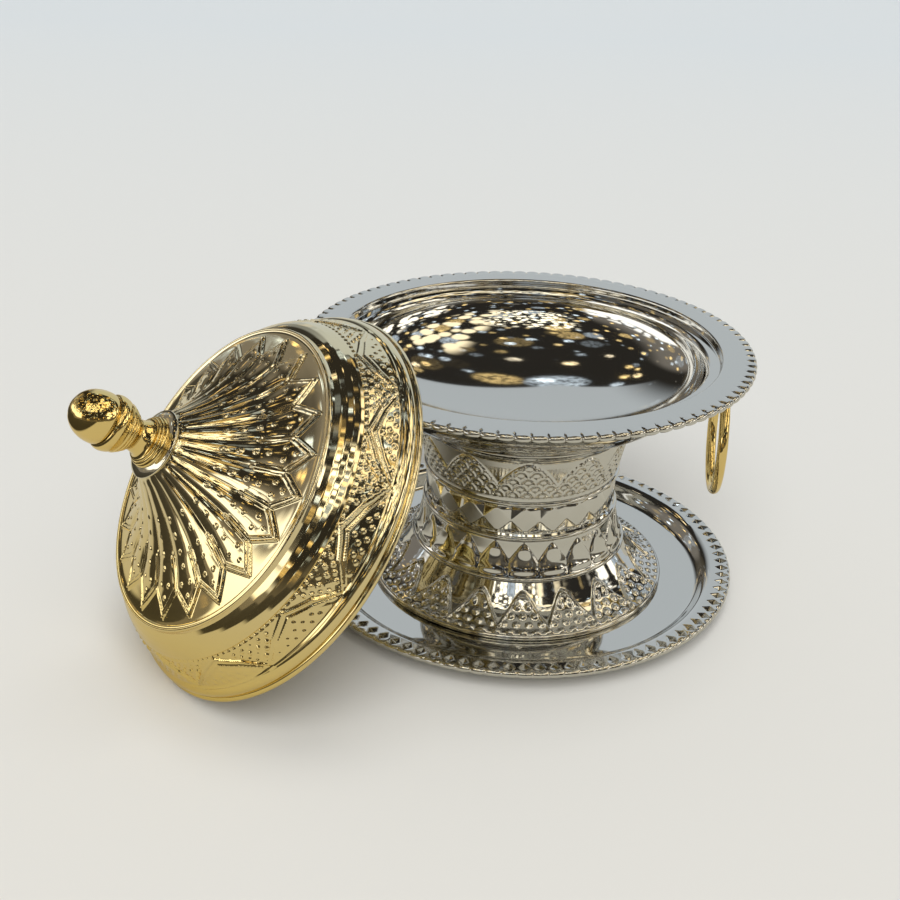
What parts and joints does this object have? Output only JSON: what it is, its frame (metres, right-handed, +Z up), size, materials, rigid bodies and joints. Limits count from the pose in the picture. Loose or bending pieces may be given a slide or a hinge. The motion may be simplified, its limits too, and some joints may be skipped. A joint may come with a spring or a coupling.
{
  "type": "lidded date bowl",
  "caption": "Round bowl on a waisted pedestal and a wide tray, with ring handles and a fluted conical lid with a knob, shown leaning on the flange.",
  "frame": {"origin": "on the bowl's axis, in the plane of the tray's standing ring", "axes": "+Z up along the bowl's axis; +X towards the ring handle at the right; -Y towards the viewer; the lid leans at the left front"},
  "size_m": [0.3415, 0.3121, 0.1725],
  "materials": {
    "silver_plate": "polished nickel or chrome plate on pressed sheet steel",
    "gold_plate": "polished pale gold plate on pressed sheet and castings",
    "steel": "plain zinc-plated fastener steel"
  },
  "bodies": {
    "stand": {"tray": "silver_plate", "pedestal": "silver_plate", "bowl": "silver_plate", "tie_stud": "steel", "tray_washer": "steel", "spring_washer": "steel", "tie_nut": "steel", "right_lug": "silver_plate", "left_lug": "silver_plate"},
    "right_ring": {"right_ring_handle": "gold_plate"},
    "left_ring": {"left_ring_handle": "gold_plate"},
    "lid": {"lid_shell": "gold_plate", "finial_washer": "silver_plate", "finial_base": "gold_plate", "finial_cup": "gold_plate", "acorn_knob": "gold_plate", "finial_stud": "steel", "lid_washer": "steel", "lid_nut": "steel"}
  },
  "joints": [
    {"name": "right_ring_swing", "type": "hinge", "parent": "stand", "child": "right_ring", "pos_m": [0.10949, -0.00497, 0.12798], "axis": [0.0454, 0.999, 0], "range_deg": [-120, 50]},
    {"name": "left_ring_swing", "type": "hinge", "parent": "stand", "child": "left_ring", "pos_m": [-0.10949, 0.00497, 0.12798], "axis": [-0.0454, -0.999, 0], "range_deg": [-60, 50]},
    {"name": "lid_lift_away", "type": "slide", "parent": "stand", "child": "lid", "axis": [-0.6469, -0.4537, 0.6129], "range_m": [0, 0.18]}
  ]
}
